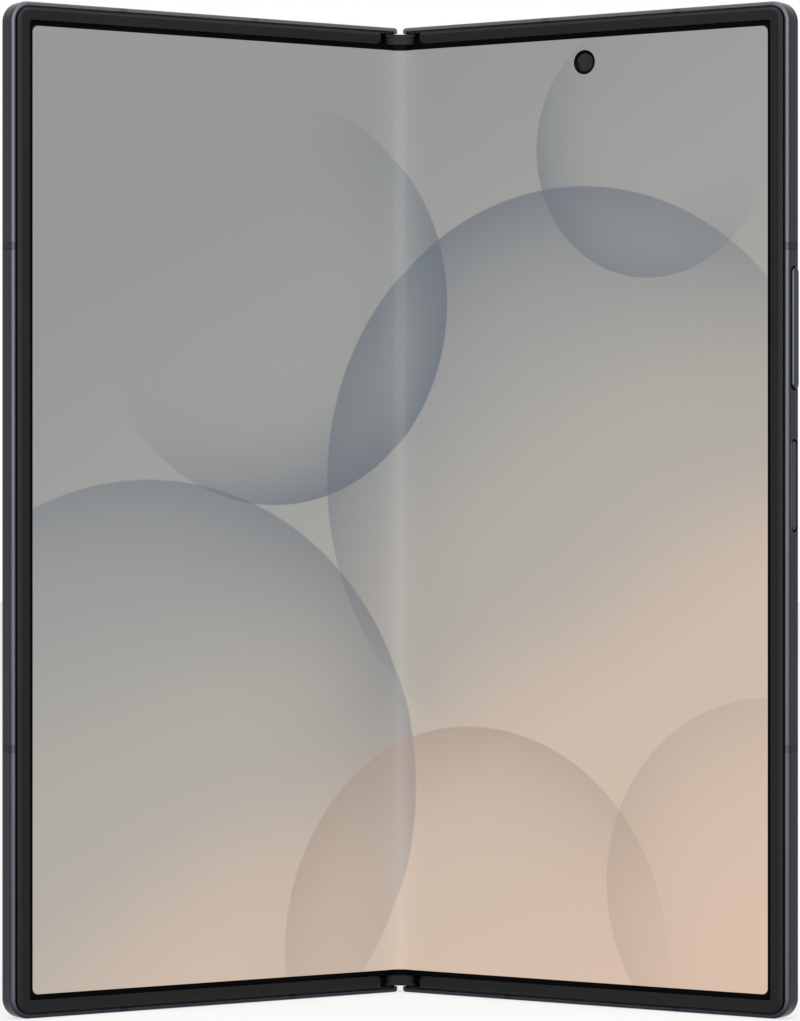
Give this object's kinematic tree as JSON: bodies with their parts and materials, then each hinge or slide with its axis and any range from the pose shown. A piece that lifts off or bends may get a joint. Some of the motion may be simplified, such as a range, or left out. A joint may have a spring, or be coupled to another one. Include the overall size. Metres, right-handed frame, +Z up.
{
  "type": "foldable smartphone",
  "caption": "Book-style folding phone, half open on its lower edges, with geared double hinge, flexible inner screen, outer glass, rear cameras, keys and card tray.",
  "frame": {"origin": "bottom centre of the bounding box, on the surface that the lower edges stand on, below the mid line between both halves", "axes": "+Z up along the fold, +X to the right, +Y to the rear; the halves open towards -Y"},
  "size_m": [0.1242, 0.0414, 0.1584],
  "materials": {
    "rail_metal": "fine satin, dark blue grey",
    "antenna_plastic": "matt",
    "bezel_plastic": "matt black",
    "screen": "glossy flexible screen",
    "rear_glass": "satin dark glass",
    "cover_screen": "glossy black glass",
    "lens_glass": "clear over black",
    "flash_window": "pale diffuser",
    "black_parts": "matt black",
    "battery_film": "matt film",
    "board": "green solder mask",
    "steel_parts": "bright steel",
    "gear_brass": "turned",
    "copper": "enamelled copper",
    "card_gold": "plain card"
  },
  "bodies": {
    "spine": {"hinge_cover": "rail_metal", "upper_hinge_cap": "bezel_plastic", "lower_hinge_cap": "bezel_plastic", "upper_hinge_bracket": "steel_parts", "lower_hinge_bracket": "steel_parts", "hinge_screws": "steel_parts", "friction_springs": "steel_parts", "screen_fold": "screen", "hinge_flex_cable": "copper"},
    "left_half": {"left_frame": "rail_metal", "left_antenna_bands": "antenna_plastic", "left_bezel": "bezel_plastic", "left_screen_panel": "screen", "left_support_plate": "steel_parts", "cover_glass": "cover_screen", "cover_display": "black_parts", "cover_camera": "black_parts", "left_battery": "battery_film", "left_sub_board": "board", "earpiece": "black_parts", "left_speaker": "black_parts", "sim_reader": "steel_parts", "upper_left_rotator": "steel_parts", "lower_left_rotator": "steel_parts", "left_rotator_screws": "steel_parts"},
    "right_half": {"right_frame": "rail_metal", "right_antenna_bands": "antenna_plastic", "right_bezel": "bezel_plastic", "right_screen_panel": "screen", "right_support_plate": "steel_parts", "back_glass": "rear_glass", "camera_island": "rail_metal", "lens_rings": "rail_metal", "lens_glasses": "lens_glass", "camera_modules": "black_parts", "camera_flash": "flash_window", "inner_camera": "black_parts", "right_battery": "battery_film", "main_board": "board", "board_shields": "steel_parts", "board_screws": "steel_parts", "key_switches": "steel_parts", "usb_shell": "steel_parts", "usb_tongue": "black_parts", "right_speaker": "black_parts", "vibration_motor": "steel_parts", "charging_coil": "copper", "upper_right_rotator": "steel_parts", "lower_right_rotator": "steel_parts", "right_rotator_screws": "steel_parts"},
    "left_pinion": {"left_pinions": "gear_brass"},
    "left_idler": {"left_idlers": "gear_brass"},
    "right_idler": {"right_idlers": "gear_brass"},
    "right_pinion": {"right_pinions": "gear_brass"},
    "left_wing": {"left_wing_plate": "steel_parts"},
    "right_wing": {"right_wing_plate": "steel_parts"},
    "volume_key": {"volume_rocker": "rail_metal"},
    "power_button": {"power_key": "rail_metal"},
    "sim_carrier": {"sim_tray": "rail_metal", "sim_card": "card_gold"}
  },
  "joints": [
    {"name": "left_fold", "type": "hinge", "parent": "spine", "child": "left_half", "pos_m": [-0.0005, 0.01739, 0.0792], "axis": [0, 0, 1], "range_deg": [-32.7, 57.3], "deforming": ["screen_fold", "hinge_flex_cable"]},
    {"name": "right_fold", "type": "hinge", "parent": "spine", "child": "right_half", "pos_m": [0.0005, 0.01739, 0.0792], "axis": [0, 0, 1], "range_deg": [-57.3, 32.7], "deforming": ["screen_fold", "hinge_flex_cable"]},
    {"name": "left_pinion_spin", "type": "hinge", "parent": "spine", "child": "left_pinion", "pos_m": [-0.00215, 0.01906, 0.0792], "axis": [0, 0, 1], "range_deg": [-241.93, 138.07]},
    {"name": "left_idler_spin", "type": "hinge", "parent": "spine", "child": "left_idler", "pos_m": [-0.00085, 0.01906, 0.0792], "axis": [0, 0, 1], "range_deg": [-73.09, 128.08]},
    {"name": "right_idler_spin", "type": "hinge", "parent": "spine", "child": "right_idler", "pos_m": [0.00085, 0.01906, 0.0792], "axis": [0, 0, 1], "range_deg": [-128.08, 73.09]},
    {"name": "right_pinion_spin", "type": "hinge", "parent": "spine", "child": "right_pinion", "pos_m": [0.00215, 0.01906, 0.0792], "axis": [0, 0, 1], "range_deg": [-138.07, 241.93]},
    {"name": "left_wing_tilt", "type": "hinge", "parent": "left_half", "child": "left_wing", "pos_m": [-0.01042, 0.01173, 0.0792], "axis": [0, 0, 1], "range_deg": [-1.24, 2.18]},
    {"name": "right_wing_tilt", "type": "hinge", "parent": "right_half", "child": "right_wing", "pos_m": [0.01042, 0.01173, 0.0792], "axis": [0, 0, 1], "range_deg": [-2.18, 1.24]},
    {"name": "volume_rocker_tilt", "type": "hinge", "parent": "right_half", "child": "volume_key", "pos_m": [0.05977, -0.01847, 0.1075], "axis": [0.5402, 0.8415, 0], "range_deg": [-0.9, 0.9], "stiffness_Nm_per_rad": 0.05},
    {"name": "power_key_press", "type": "slide", "parent": "right_half", "child": "power_button", "axis": [-0.8415, 0.5402, 0], "range_m": [0, 0.0002], "stiffness_N_per_m": 2000},
    {"name": "sim_tray_slide", "type": "slide", "parent": "left_half", "child": "sim_carrier", "axis": [0, 0, 1], "range_m": [0, 0.018]}
  ],
  "couplings": [
    {"joint": "right_fold", "follows": "left_fold", "ratio": -1},
    {"joint": "left_pinion_spin", "follows": "left_fold", "ratio": -4.2222},
    {"joint": "left_idler_spin", "follows": "left_fold", "ratio": 2.2353},
    {"joint": "right_idler_spin", "follows": "left_fold", "ratio": -2.2353},
    {"joint": "right_pinion_spin", "follows": "left_fold", "ratio": 4.2222},
    {"joint": "left_wing_tilt", "follows": "left_fold", "ratio": 0.038},
    {"joint": "right_wing_tilt", "follows": "left_fold", "ratio": -0.038}
  ]
}
